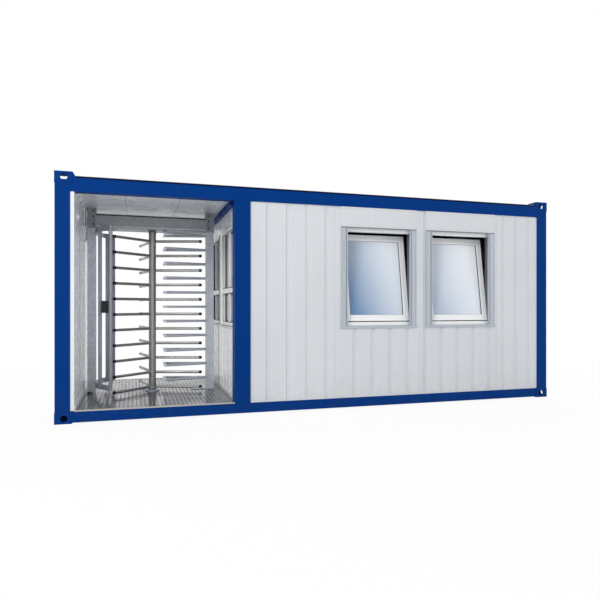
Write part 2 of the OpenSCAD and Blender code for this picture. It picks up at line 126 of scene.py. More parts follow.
def add_floor():
    mesh = bpy.data.meshes.new("floor")
    bm = bmesh.new()
    bmesh.ops.create_circle(bm, cap_ends=True, radius=FLOOR_R, segments=96)
    bm.to_mesh(mesh)
    bm.free()
    floor = bpy.data.objects.new("floor", mesh)
    bpy.context.scene.collection.objects.link(floor)
    material = bpy.data.materials.new("studio_floor")
    material.use_nodes = True
    nodes, links = material.node_tree.nodes, material.node_tree.links
    nodes.clear()
    diffuse = nodes.new("ShaderNodeBsdfDiffuse")
    diffuse.inputs["Color"].default_value = (0.94, 0.945, 0.95, 1)
    glow = nodes.new("ShaderNodeEmission")
    place = nodes.new("ShaderNodeTexCoord")
    distance = nodes.new("ShaderNodeVectorMath")
    distance.operation = "LENGTH"
    links.new(place.outputs["Object"], distance.inputs[0])
    fade = nodes.new("ShaderNodeMapRange")
    for socket, number in zip(MAP_SOCKETS, (GLOW_NEAR, GLOW_FAR, GLOW_SHARE, 1.0)):
        fade.inputs[socket].default_value = number
    links.new(distance.outputs["Value"], fade.inputs["Value"])
    share = nodes.new("ShaderNodeMath")
    share.operation = "MULTIPLY"
    links.new(fade.outputs[0], share.inputs[1])
    mix = nodes.new("ShaderNodeMixShader")
    output = nodes.new("ShaderNodeOutputMaterial")
    links.new(background_rays(nodes, links), share.inputs[0])
    links.new(share.outputs[0], mix.inputs[0])
    links.new(diffuse.outputs[0], mix.inputs[1])
    links.new(glow.outputs[0], mix.inputs[2])
    links.new(mix.outputs[0], output.inputs["Surface"])
    mesh.materials.append(material)


# ---------------------------------------------------------------- materials


class Shader:
    """A material built round one Principled shader, in object coordinates, in metres"""

    def __init__(self, name, color, rough, metal=0.0, specular=0.5, coat=0.0):
        self.material = bpy.data.materials.new(name)
        self.material.use_nodes = True
        self.nodes = self.material.node_tree.nodes
        self.links = self.material.node_tree.links
        self.nodes.clear()
        self.shader = self.nodes.new("ShaderNodeBsdfPrincipled")
        self.shader.inputs["Base Color"].default_value = (*color, 1)
        self.shader.inputs["Roughness"].default_value = rough
        self.shader.inputs["Metallic"].default_value = metal
        self.shader.inputs["Specular IOR Level"].default_value = specular
        self.shader.inputs["Coat Weight"].default_value = coat
        self.shader.inputs["Coat Roughness"].default_value = 0.12
        output = self.nodes.new("ShaderNodeOutputMaterial")
        self.links.new(self.shader.outputs[0], output.inputs["Surface"])
        self.place = self.nodes.new("ShaderNodeTexCoord").outputs["Object"]
        self.color = None
        self.height = None

    def stretched(self, scale):
        mapping = self.nodes.new("ShaderNodeMapping")
        mapping.inputs["Scale"].default_value = scale
        self.links.new(self.place, mapping.inputs["Vector"])
        return mapping.outputs[0]

    def noise(self, scale, detail=4.0, stretch=(1, 1, 1), rough=0.5):
        texture = self.nodes.new("ShaderNodeTexNoise")
        texture.inputs["Scale"].default_value = scale
        texture.inputs["Detail"].default_value = detail
        texture.inputs["Roughness"].default_value = rough
        self.links.new(self.stretched(stretch), texture.inputs["Vector"])
        return texture.outputs["Fac"]

    def cells(self, scale, stretch=(1, 1, 1)):
        texture = self.nodes.new("ShaderNodeTexVoronoi")
        texture.inputs["Scale"].default_value = scale
        self.links.new(self.stretched(stretch), texture.inputs["Vector"])
        split = self.nodes.new("ShaderNodeSeparateColor")
        self.links.new(texture.outputs["Color"], split.inputs[0])
        return split.outputs[0]

    def spread(self, value, low, high, out_low=0.0, out_high=1.0):
        """Maps value from low..high to out_low..out_high, and holds it there"""
        node = self.nodes.new("ShaderNodeMapRange")
        for socket, number in zip(MAP_SOCKETS, (low, high, out_low, out_high)):
            node.inputs[socket].default_value = number
        self.links.new(value, node.inputs["Value"])
        return node.outputs[0]

    def along(self, axis):
        split = self.nodes.new("ShaderNodeSeparateXYZ")
        self.links.new(self.place, split.inputs[0])
        return split.outputs[axis]

    def times(self, a, b):
        node = self.nodes.new("ShaderNodeMath")
        node.operation = "MULTIPLY"
        self.links.new(a, node.inputs[0])
        self.links.new(b, node.inputs[1])
        return node.outputs[0]

    def tint(self, factor, color):
        """Mixes this colour in, by the factor"""
        mix = self.nodes.new("ShaderNodeMix")
        mix.data_type = "RGBA"
        if self.color is None:
            mix.inputs["A"].default_value = self.shader.inputs["Base Color"].default_value
        else:
            self.links.new(self.color, mix.inputs["A"])
        mix.inputs["B"].default_value = (*color, 1)
        self.links.new(factor, mix.inputs["Factor"])
        self.color = mix.outputs["Result"]
        self.links.new(self.color, self.shader.inputs["Base Color"])

    def roughen(self, value, low, high):
        self.links.new(self.spread(value, 0.3, 0.7, low, high), self.shader.inputs["Roughness"])

    def bump(self, value, depth):
        node = self.nodes.new("ShaderNodeBump")
        node.inputs["Distance"].default_value = depth
        self.links.new(value, node.inputs["Height"])
        if self.height is not None:
            self.links.new(self.height, node.inputs["Normal"])
        self.height = node.outputs[0]
        self.links.new(self.height, self.shader.inputs["Normal"])


def shade(color, factor):
    return tuple(c * factor for c in color)


def painted(name, color, rough=0.42, specular=0.25, foot_tint=(0.25, 0.22, 0.18), foot_share=0.25, wave=0.0015):
    """Sprayed and baked paint: a little orange peel, faint clouds, a darker tint in patches towards the foot
    and fine streaks
    """
    s = Shader(name, color, rough, specular=specular)
    clouds = s.noise(1.3, 3)
    s.tint(s.spread(clouds, 0.35, 0.75, 0, 0.5), shade(color, 0.88))
    streaks = s.noise(9, 5, (1, 1, 0.05))
    s.tint(s.spread(streaks, 0.55, 0.8, 0, 0.25), shade(color, 1.12))
    low_band = s.spread(s.along(2), 0.02, 0.45, 1, 0)
    foot_patches = s.times(low_band, s.spread(s.noise(14, 6), 0.4, 0.75))
    s.tint(s.spread(foot_patches, 0, 1, 0, foot_share), foot_tint)
    s.roughen(s.noise(6, 5), rough - 0.06, rough + 0.1)
    s.bump(s.noise(420, 2), 0.00025)
    s.bump(s.noise(2.2, 2), wave)
    return s.material


def galvanised(name, color, rough=0.38, metal=0.75):
    """Hot-dip zinc: grey spangle in flat crystals, with dull patches"""
    s = Shader(name, color, rough, metal=metal)
    spangle = s.cells(55)
    s.tint(s.spread(spangle, 0, 1, 0, 0.45), shade(color, 0.74))
    s.tint(s.spread(s.noise(7, 5), 0.5, 0.8, 0, 0.5), shade(color, 1.2))
    s.roughen(spangle, rough - 0.08, rough + 0.12)
    s.bump(spangle, 0.00012)
    s.bump(s.noise(160, 3), 0.0002)
    return s.material


def worn_metal(name, color, rough, metal):
    """Bare metal with rubbed lines, dull clouds and fine scratches"""
    s = Shader(name, color, rough, metal=metal)
    clouds = s.noise(4.5, 5)
    s.tint(s.spread(clouds, 0.4, 0.75, 0, 0.5), shade(color, 0.78))
    rubbed = s.noise(38, 4, (1, 0.06, 1))
    s.tint(s.spread(rubbed, 0.5, 0.8, 0, 0.35), shade(color, 1.25))
    s.roughen(clouds, rough - 0.05, rough + 0.14)
    s.bump(rubbed, 0.00012)
    return s.material


def plastic(name, color, rough, specular=0.5, coat=0.0, grain=500):
    s = Shader(name, color, rough, specular=specular, coat=coat)
    s.tint(s.spread(s.noise(2.5, 3), 0.4, 0.8, 0, 0.4), shade(color, 0.93))
    s.roughen(s.noise(20, 4), rough - 0.04, rough + 0.08)
    s.bump(s.noise(grain, 2), 0.00015)
    return s.material


def aluminium(name, color, rough=0.4):
    """Anodised aluminium, drawn lengthwise"""
    s = Shader(name, color, rough, metal=0.3)
    drawn = s.noise(60, 4, (1, 1, 0.03))
    s.tint(s.spread(drawn, 0.35, 0.7, 0, 0.5), shade(color, 0.86))
    s.roughen(drawn, rough - 0.06, rough + 0.12)
    s.bump(drawn, 0.0002)
    return s.material


# Heights over which the painted sky reflection pales, how much height counts beside width, and the sum's range
SKY_REFLECTION_Z = (1.0, 2.1)
SKY_REFLECTION_UP = 0.62
SKY_REFLECTION_RANGE = (0.20, 1.40)


def painted_sky_reflection_glass(name, panes):
    """Glass with a painted sky reflection: sky blue that pales towards the upper right of each pane"""
    reflected_sky_blue = (0.155, 0.27, 0.45)
    s = Shader(name, reflected_sky_blue, 0.06, specular=0.25)
    x, z = s.along(0), s.along(2)
    # Each pane's colour is a painted sky reflection, paler up and to the right
    for (low, high, first, last, color) in panes:
        inside = s.times(s.spread(x, low - 0.01, low, 0, 1), s.spread(x, high, high + 0.01, 1, 0))
        across = s.spread(x, low, high, 0, 1)
        up = s.spread(z, *SKY_REFLECTION_Z, 0, 1)
        blend = s.nodes.new("ShaderNodeMath")
        blend.operation = "MULTIPLY_ADD"
        s.links.new(up, blend.inputs[0])
        blend.inputs[1].default_value = SKY_REFLECTION_UP
        s.links.new(across, blend.inputs[2])
        sky_reflection = s.spread(blend.outputs[0], *SKY_REFLECTION_RANGE, first, last)
        s.tint(s.times(inside, sky_reflection), color)
    s.bump(s.noise(3, 2), 0.0006)
    return s.material


def dark_glass(name):
    s = Shader(name, (0.035, 0.042, 0.05), 0.04, specular=0.6, coat=0.8)
    s.tint(s.spread(s.noise(1.1, 2), 0.35, 0.7, 0, 0.8), (0.10, 0.12, 0.145))
    s.bump(s.noise(3, 2), 0.0005)
    return s.material


WINDOW_PITCH = 1.130

BLUE = (0.0012, 0.038, 0.205)
WALL_GREY = (0.67, 0.69, 0.71)
LINING_GREY = (0.90, 0.905, 0.92)
ZINC = (0.60, 0.635, 0.69)
ROTOR_STEEL = (0.36, 0.355, 0.35)
# Painted shade: galvanised steel darkened for the portal head box and the posts' tops
ZINC_PAINTED_SHADE = (0.33, 0.345, 0.365)
CAGE_ZINC = (0.40, 0.43, 0.485)
SEAL_BLACK = (0.012, 0.013, 0.016)
# Painted shadow: near-black navy for the shadow under the roof trims on the top rails
LIP_SHADOW_NAVY = (0.001, 0.006, 0.035)
PVC_WHITE = (0.90, 0.905, 0.91)
SHUTTER_GREY = (0.46, 0.50, 0.55)
CEILING_GREY = (0.74, 0.76, 0.80)
ROOF_GREY = (0.50, 0.52, 0.53)
SUBFLOOR_GREY = (0.10, 0.11, 0.12)
DOOR_GREY = (0.62, 0.65, 0.68)
FLOORING_GREY = (0.20, 0.22, 0.24)
TREAD_STEEL = (0.145, 0.15, 0.162)
THRESHOLD_BRONZE = (0.50, 0.46, 0.41)
STRIP_WHITE = (0.78, 0.79, 0.80)
JOINT_GREY = (0.42, 0.435, 0.455)
# Painted shade: dark grey for the shaded faces inside the office windows' frames and sashes
REVEAL_SHADE_GREY = (0.10, 0.115, 0.13)
# Painted shade: dark grey for the guides' slots and for the shadow under the shutter box covers
SLOT_SHADE_GREY = (0.22, 0.24, 0.27)
PLASTIC_BLACK = (0.012, 0.012, 0.014)


def make_materials():
    return {
        "frame_paint": painted("frame_paint", BLUE, 0.42, 0.03, (0.03, 0.045, 0.07), 0.3),
        "wall_panel": painted("wall_panel", WALL_GREY, 0.45, 0.25, (0.42, 0.40, 0.36), 0.3),
        "lining_panel": painted("lining_panel", LINING_GREY, 0.26, 0.8, (0.55, 0.54, 0.52), 0.2, 0.0005),
        "ceiling_panel": painted("ceiling_panel", CEILING_GREY, 0.30, 0.5),
        "roof_metal": painted("roof_metal", ROOF_GREY, 0.42, 0.3),
        "floor_frame": painted("floor_frame", SUBFLOOR_GREY, 0.6, 0.2),
        "door_paint": painted("door_paint", DOOR_GREY, 0.42, 0.25),
        "office_flooring": plastic("office_flooring", FLOORING_GREY, 0.55),
        "tread_plate": worn_metal("tread_plate", TREAD_STEEL, 0.16, 0.6),
        "galvanised_steel": galvanised("galvanised_steel", ZINC, 0.42, 0.45),
        "rotor_steel": worn_metal("rotor_steel", ROTOR_STEEL, 0.30, 0.7),
        "cage_zinc": galvanised("cage_zinc", CAGE_ZINC, 0.42, 0.45),
        "zinc_painted_shade": galvanised("zinc_painted_shade", ZINC_PAINTED_SHADE, 0.45, 0.5),
        "threshold": aluminium("threshold", THRESHOLD_BRONZE, 0.35),
        "strip_metal": painted("strip_metal", STRIP_WHITE, 0.4, 0.3),
        "joint": plastic("joint", JOINT_GREY, 0.6, 0.2),
        "reveal_painted_shade": plastic("reveal_painted_shade", REVEAL_SHADE_GREY, 0.5, 0.2),
        "slot_shade": plastic("slot_shade", SLOT_SHADE_GREY, 0.5, 0.2),
        "gasket": plastic("gasket", SEAL_BLACK, 0.6, 0.2),
        "lip_painted_shadow": painted("lip_painted_shadow", LIP_SHADOW_NAVY, 0.5, 0.05),
        "shutter_aluminium": aluminium("shutter_aluminium", SHUTTER_GREY),
        "window_plastic": plastic("window_plastic", PVC_WHITE, 0.3, 0.35, 0.15),
        "black_plastic": plastic("black_plastic", PLASTIC_BLACK, 0.42, 0.35),
        # The panes' colour is a painted sky reflection
        "window_pane": painted_sky_reflection_glass("window_pane", sash_panes()),
        "partition_pane": dark_glass("partition_pane"),
    }


def sash_panes():
    """For each office window: its pane's x range, least and greatest share of the painted reflection's pale
    colour, and that colour
    """
    low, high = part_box("window_glass")
    pane = high.x - low.x - WINDOW_PITCH
    return [
        (low.x, low.x + pane, 0.0, 1.0, (0.88, 0.92, 0.97)),
        (high.x - pane, high.x, 0.40, 1.0, (0.93, 0.95, 0.98)),
    ]


MATERIALS = make_materials()


# ---------------------------------------------------------------- making pieces


class Piece:
    """A mesh that is filled shape by shape, and then becomes one object"""

    def __init__(self):
        self.bm = bmesh.new()

    def hull(self, bottom, top):
        """A closed solid between two rings of as many points"""
        rings = [[self.bm.verts.new(p) for p in ring] for ring in (bottom, top)]
        count = len(bottom)
        self.bm.faces.new(list(reversed(rings[0])))
        self.bm.faces.new(rings[1])
        for i in range(count):
            j = (i + 1) % count
            self.bm.faces.new([rings[0][i], rings[0][j], rings[1][j], rings[1][i]])

    def slab(self, place, low, high):
        """A block in a surface's own directions: along, out and up, which place maps to the frame"""
        (u0, d0, v0), (u1, d1, v1) = low, high
        ring = [(u0, d0), (u1, d0), (u1, d1), (u0, d1)]
        self.hull([place(u, d, v0) for u, d in ring], [place(u, d, v1) for u, d in ring])

    def border(self, place, low, high, width):
        """Four slabs inside the edges of a rectangle"""
        (u0, d0, v0), (u1, d1, v1) = low, high
        self.slab(place, (u0, d0, v0), (u1, d1, v0 + width))
        self.slab(place, (u0, d0, v1 - width), (u1, d1, v1))
        self.slab(place, (u0, d0, v0 + width), (u0 + width, d1, v1 - width))
        self.slab(place, (u1 - width, d0, v0 + width), (u1, d1, v1 - width))

    def box(self, low, high):
        self.slab(lambda x, y, z: (x, y, z), low, high)

    def rod(self, start, end, radius, sides=20, end_radius=None):
        start, end = Vector(start), Vector(end)
        turn = (end - start).to_track_quat("Z", "Y")
        rings = []
        for centre, r in ((start, radius), (end, radius if end_radius is None else end_radius)):
            angles = [2 * math.pi * i / sides for i in range(sides)]
            rings.append([centre + turn @ Vector((r * math.cos(a), r * math.sin(a), 0)) for a in angles])
        self.hull(*rings)

    def lathe(self, base, axis, profile, sides=24):
        """A closed solid of revolution; profile is a list of (radius, distance along the axis)"""
        base, axis = Vector(base), Vector(axis).normalized()
        turn = axis.to_track_quat("Z", "Y")
        rings = []
        for radius, distance in profile:
            ring = []
            for i in range(sides):
                a = 2 * math.pi * i / sides
                point = Vector((radius * math.cos(a), radius * math.sin(a), distance))
                ring.append(self.bm.verts.new(base + turn @ point))
            rings.append(ring)
        for lower, upper in zip(rings, rings[1:]):
            for i in range(sides):
                j = (i + 1) % sides
                self.bm.faces.new([lower[i], lower[j], upper[j], upper[i]])
        self.bm.faces.new(list(reversed(rings[0])))
        self.bm.faces.new(rings[-1])

    def done(self, name, material, slot=None, body=STATIC, bevel=0.0, segments=2, smooth=False):
        bmesh.ops.recalc_face_normals(self.bm, faces=self.bm.faces)
        mesh = bpy.data.meshes.new(name)
        self.bm.to_mesh(mesh)
        self.bm.free()
        mesh.materials.append(MATERIALS[material])
        piece = bpy.data.objects.new(name, mesh)
        bpy.context.scene.collection.objects.link(piece)
        if smooth:
            mesh.shade_smooth()
        if bevel:
            round_edges(piece, bevel, segments)
        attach(piece, body)
        return piece


EDGE_ANGLE = math.radians(40)


def round_edges(piece, width, segments=2):
    """Rounds the sharp edges of a piece or a CAD node, and shades it smooth between them"""
    bevel = piece.modifiers.new("rounding", "BEVEL")
    bevel.width = width
    bevel.segments = segments
    bevel.limit_method = "ANGLE"
    bevel.angle_limit = EDGE_ANGLE
    bevel.harden_normals = True
    piece.data.shade_smooth()


OTHER_FINISH = {
    "partition_window_glass": "partition_pane",
    "rotor_column": "rotor_steel",
    "rotor_wing_left": "rotor_steel",
    "rotor_wing_right": "rotor_steel",
    "rotor_wing_rear": "rotor_steel",
    # The head box takes the zinc darkened as painted shade
    "portal_head_box": "zinc_painted_shade",
    "front_guard_cage": "cage_zinc",
    "rear_guard_cage": "cage_zinc",
}


def dress_cad_nodes():
    """Gives every CAD node its finish"""
    slots = {s["node"]: s["material_slot"] for s in frame["record"]["subparts"]}
    rounding = {
        "frame_paint": 0.005, "wall_panel": 0.002, "galvanised_steel": 0.003,
        "shutter_aluminium": 0.003, "window_plastic": 0.005, "door_paint": 0.003, "black_plastic": 0.006,
    }
    for name, node in frame["nodes"].items():
        slot = slots[name]
        material = MATERIALS[OTHER_FINISH.get(name, slot)]
        node.data.materials.clear()
        node.data.materials.append(material)
        if slot in rounding:
            round_edges(node, rounding[slot])


# ---------------------------------------------------------------- ribbed wall sheets

GROOVE_W = 0.032
GROOVE_SLOPE = 0.009
SHEET_PROUD = 0.013
GROOVE_PITCH = 0.2335
STRIP_H = 0.012
SCREW_ROWS = (0.08, 0.92, 2.19)
# Washer and domed head, as (radius, height)
SCREW_PROFILE = [(0.008, 0), (0.008, 0.0015), (0.0055, 0.002), (0.005, 0.005), (0.002, 0.0065)]
# A groove this close to a window is taken as covered by it
GROOVE_CLEAR = 0.020
# Screws are left out in grooves this close to the rear door
DOOR_CLEAR = 0.030
JOINT_W = 0.0025
FOOT_STRIP_OUT = 0.013
HEAD_STRIP_OUT = 0.010
FRONT_GROOVES = [0.206 + 0.235 * i for i in range(4)]
FRONT_GROOVES += [1.268 + GROOVE_PITCH * i for i in range(9)]
FRONT_GROOVES += [3.350 + 0.195 * i for i in range(3)]
FRONT_JOINTS = (1.011, 2.130, 3.243)


def grooves_over(length):
    """Groove places along a wall with its sheets centred"""
    count = int(length / GROOVE_PITCH)
    first = (length - (count - 1) * GROOVE_PITCH) / 2
    return [first + GROOVE_PITCH * i for i in range(count)]


def sheet(piece, place, low, high, grooves, proud=SHEET_PROUD):
    """Raised plates between the grooves over one rectangle of wall; low and high are (along, up)"""
    start = low[0]
    slope_in = 0.0
    stops = [g for g in grooves if low[0] + GROOVE_W < g < high[0]]
    for stop in stops + [None]:
        end = high[0] if stop is None else stop - GROOVE_W / 2
        slope_out = 0.0 if stop is None else GROOVE_SLOPE
        if end - start > 3 * GROOVE_SLOPE:
            ring = [(start, -0.002), (end, -0.002), (end - slope_out, proud), (start + slope_in, proud)]
            piece.hull([place(u, d, low[1]) for u, d in ring], [place(u, d, high[1]) for u, d in ring])
        if stop is not None:
            start = stop + GROOVE_W / 2
            slope_in = GROOVE_SLOPE


def screws(piece, place, grooves, foot, rows, depth=0.0):
    """A row of domed screws with washers in the grooves, at heights over the wall's foot"""
    for along in grooves:
        for row in rows:
            base = Vector(place(along, depth, foot + row))
            out = Vector(place(along, depth + 1, foot + row)) - base
            piece.lathe(base, out, SCREW_PROFILE, 12)


def wall_strips(piece, place, low, high):
    """The flashing along a wall's foot and head"""
    piece.slab(place, (low[0], -0.002, low[1]), (high[0], FOOT_STRIP_OUT, low[1] + STRIP_H))
    piece.slab(place, (low[0], -0.002, high[1] - STRIP_H), (high[0], HEAD_STRIP_OUT, high[1]))


def window_spans():
    """The x ranges over the shutter guides of the two office windows"""
    low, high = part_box("window_sills")
    return [(low.x, high.x - WINDOW_PITCH), (low.x + WINDOW_PITCH, high.x)]


def clad_front():
    low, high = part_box("front_wall")
    sills_low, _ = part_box("window_sills")
    length = high.x - low.x
    foot, head = low.z + STRIP_H, high.z - STRIP_H

    def place(u, d, v):
        return (low.x + u, low.y - d, v)

    piece = Piece()
    edges = [0.0]
    for start, end in window_spans():
        edges += [start - low.x, end - low.x]
    edges.append(length)
    for i, (start, end) in enumerate(zip(edges, edges[1:])):
        top = sills_low.z if i % 2 else head
        sheet(piece, place, (start, foot), (end, top), FRONT_GROOVES)
    piece.done("front_wall_sheets", "wall_panel")

    strips = Piece()
    wall_strips(strips, place, (0, low.z), (length, high.z))
    strips.done("front_wall_flashings", "strip_metal", "wall_panel")

    joints = Piece()
    for along in FRONT_JOINTS:
        covered = any(start - low.x < along < end - low.x for start, end in window_spans())
        top = sills_low.z if covered else head
        joints.slab(place, (along, SHEET_PROUD - 0.001, foot), (along + JOINT_W, SHEET_PROUD + 0.0005, top))
    joints.done("front_wall_joints", "joint", "wall_panel")

    heads = Piece()
    spans = window_spans()
    open_grooves = [g for g in FRONT_GROOVES
                    if not any(a - GROOVE_CLEAR < g + low.x < b + GROOVE_CLEAR for a, b in spans)]
    screws(heads, place, open_grooves, low.z, SCREW_ROWS)
    under = [g for g in FRONT_GROOVES if g not in open_grooves]
    screws(heads, place, under, low.z, SCREW_ROWS[:1])
    heads.done("front_wall_screws", "strip_metal", "wall_panel", smooth=True)


def clad_rear():
    low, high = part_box("rear_wall")
    door_low, door_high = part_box("door_frame")
    length = high.x - low.x
    foot, head = low.z + STRIP_H, high.z - STRIP_H
    grooves = grooves_over(length)
    door = (door_low.x - low.x, door_high.x - low.x)

    def place(u, d, v):
        return (low.x + u, high.y + d, v)

    piece = Piece()
    sheet(piece, place, (0, foot), (door[0], head), grooves)
    sheet(piece, place, (door[0], door_high.z), (door[1], head), grooves)
    sheet(piece, place, (door[1], foot), (length, head), grooves)
    piece.done("rear_wall_sheets", "wall_panel")

    strips = Piece()
    wall_strips(strips, place, (0, low.z), (door[0], high.z))
    wall_strips(strips, place, (door[1], low.z), (length, high.z))
    strips.slab(place, (door[0], -0.002, high.z - STRIP_H), (door[1], HEAD_STRIP_OUT, high.z))
    strips.done("rear_wall_flashings", "strip_metal", "wall_panel")

    heads = Piece()
    open_grooves = [g for g in grooves if not door[0] - DOOR_CLEAR < g < door[1] + DOOR_CLEAR]
    screws(heads, place, open_grooves, low.z, SCREW_ROWS)
    heads.done("rear_wall_screws", "strip_metal", "wall_panel", smooth=True)


def clad_ends():
    for name, side in (("left", -1), ("right", 1)):
        low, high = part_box(name + "_end_wall")
        face = high.x if side > 0 else low.x
        length = high.y - low.y
        grooves = grooves_over(length)

        def place(u, d, v, face=face, side=side, start=low.y):
            return (face + side * d, start + u, v)

        piece = Piece()
        sheet(piece, place, (0, low.z + STRIP_H), (length, high.z - STRIP_H), grooves)
        piece.done(name + "_end_sheets", "wall_panel")
        strips = Piece()
        wall_strips(strips, place, (0, low.z), (length, high.z))
        strips.done(name + "_end_flashings", "strip_metal", "wall_panel")
        heads = Piece()
        screws(heads, place, grooves, low.z, SCREW_ROWS)
        heads.done(name + "_end_screws", "strip_metal", "wall_panel", smooth=True)


# ---------------------------------------------------------------- roof and frame

ROOF_RIB_PITCH = 0.25
ROOF_RIB_H = 0.022
ROOF_RIB_FOOT, ROOF_RIB_TOP = 0.035, 0.018
ROOF_RIB_END = 0.06
# Heights of a trim's underside and top over the rails' tops
TRIM_Z0, TRIM_Z1 = 0.003, 0.007
TRIM_END = 0.03
# Drops of the painted shadow bands below the side and end rails' tops
SHADOW_LIP_DROP = 0.013
END_SHADOW_LIP_DROP = 0.008


def finish_roof():
    low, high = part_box("roof_sheet")
    _, rail_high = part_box("front_top_rail")
    ribs = Piece()
    count = int((high.x - low.x - 0.1) / ROOF_RIB_PITCH)
    first = -count * ROOF_RIB_PITCH / 2
    for i in range(count + 1):
        x = first + i * ROOF_RIB_PITCH
        section = [(x - ROOF_RIB_FOOT, -0.001), (x + ROOF_RIB_FOOT, -0.001),
                   (x + ROOF_RIB_TOP, ROOF_RIB_H), (x - ROOF_RIB_TOP, ROOF_RIB_H)]
        ends = low.y + ROOF_RIB_END, high.y - ROOF_RIB_END
        ribs.hull(*[[(u, y, high.z + up) for u, up in section] for y in ends])
    ribs.done("roof_ribs", "roof_metal")
    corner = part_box("top_corner_fittings")[1]
    end_x = rail_high.x - GUSSET_L - 0.02
    trims, lips = Piece(), Piece()
    for side in (-1, 1):
        face = side * (corner.y - 0.004)
        inner = side * (high.y - 0.02)
        out = side * (corner.y - 0.0005)
        ys = sorted((face, inner))
        trims.box((-end_x, ys[0], rail_high.z + TRIM_Z0), (end_x, ys[1], rail_high.z + TRIM_Z1))
        # Painted shadow: a near-black navy band at the rail's top edge, under the trim
        ys = sorted((out, face - side * 0.01))
        lips.box((-end_x, ys[0], rail_high.z - SHADOW_LIP_DROP), (end_x, ys[1], rail_high.z + TRIM_Z0))
        end_low, end_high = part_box("end_top_rails")
        xs = sorted((side * end_high.x, side * (high.x - 0.02)))
        y0, y1 = end_low.y + TRIM_END, end_high.y - TRIM_END
        trims.box((xs[0], y0, end_high.z + TRIM_Z0), (xs[1], y1, end_high.z + TRIM_Z1))
        xs = sorted((side * (end_high.x + 0.0035), side * (end_high.x - 0.01)))
        lips.box((xs[0], y0, end_high.z - END_SHADOW_LIP_DROP), (xs[1], y1, end_high.z + TRIM_Z0))
    trims.done("roof_edge_trims", "roof_metal")
    lips.done("top_rail_painted_shadows", "lip_painted_shadow", "frame_paint")


GUSSET_L = 0.036


def finish_frame():
    _, fittings_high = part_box("top_corner_fittings")
    rail_low, rail_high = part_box("front_top_rail")
    bottom_rail_low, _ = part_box("front_bottom_rail")
    fitting_in = -bottom_rail_low.x
    post_low, post_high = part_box("front_right_post")
    gussets = Piece()
    for sx in (-1, 1):
        for sy in (-1, 1):
            foot = rail_high.z - 0.001
            outline = [(fitting_in + 0.001, foot), (fitting_in - GUSSET_L, foot),
                       (fitting_in - 0.006, fittings_high.z), (fitting_in + 0.001, fittings_high.z)]
            ys = sy * (fittings_high.y - 0.004), sy * (fittings_high.y - 0.115)
            gussets.hull(*[[(sx * x, y, z) for x, z in outline] for y in ys])
    gussets.done("fitting_gussets", "frame_paint", bevel=0.003)

    welds = Piece()
    bead = 0.0028
    post_foot, post_head = post_low.z, post_high.z
    for sx in (-1, 1):
        for sy in (-1, 1):
            y_face, x_face = sy * (fittings_high.y - 0.004), sx * (fittings_high.x - 0.004)
            for z in (post_foot, post_head):
                welds.rod((sx * post_low.x, y_face, z), (x_face, y_face, z), bead, 8)
                welds.rod((x_face, y_face, z), (x_face, sy * -post_high.y, z), bead, 8)
            for z in (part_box("front_bottom_rail")[1].z, rail_low.z):
                welds.rod((sx * post_low.x, y_face, z), (sx * (post_low.x - 0.02), y_face, z), bead, 8)
    for name in ("front_middle_post", "rear_middle_post"):
        low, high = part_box(name)
        y = low.y if low.y < 0 else high.y
        for z in (low.z, high.z):
            welds.rod((low.x, y, z), (high.x, y, z), bead, 8)
    welds.done("weld_seams", "frame_paint", smooth=True)


# ---------------------------------------------------------------- turnstile bay

TREAD_PITCH = 0.045
TREAD_L, TREAD_W, TREAD_H = 0.030, 0.009, 0.0018
# Seams of the lining along Y, and of the ceiling along X
LINING_SEAMS = (-1.150, -0.62, 0.0, 0.62, 1.150)
CEILING_SEAMS = (-2.34, -1.741)
COVE = 0.04
COVE_END = 1.055
# Round fixture on the lining, as (radius, height)
FIXTURE_PROFILE = [(0.033, 0), (0.033, 0.012), (0.028, 0.020), (0.012, 0.022), (0.006, 0.017)]


def tread_pattern(piece, low, high, bearing, bearing_r):
    """Raised lozenges in alternate directions over a plate, left out under the rotor's bearing"""
    columns = int((high.x - low.x - 0.02) / TREAD_PITCH)
    rows = int((high.y - low.y - 0.02) / TREAD_PITCH)
    for i in range(columns):
        for j in range(rows):
            turn = math.radians(45 if (i + j) % 2 else -45)
            cx = low.x + 0.01 + TREAD_PITCH * (i + 0.5)
            cy = low.y + 0.01 + TREAD_PITCH * (j + 0.5)
            if math.hypot(cx - bearing.x, cy - bearing.y) < bearing_r:
                continue
            rings = []
            for share, up in ((1.0, -0.0005), (0.5, TREAD_H)):
                half_l, half_w = TREAD_L / 2 * share, TREAD_W / 2 * share
                corners = [(half_l, 0), (0, half_w), (-half_l, 0), (0, -half_w)]
                rings.append([(cx + a * math.cos(turn) - b * math.sin(turn),
                               cy + a * math.sin(turn) + b * math.cos(turn),
                               high.z + up) for a, b in corners])
            piece.hull(*rings)


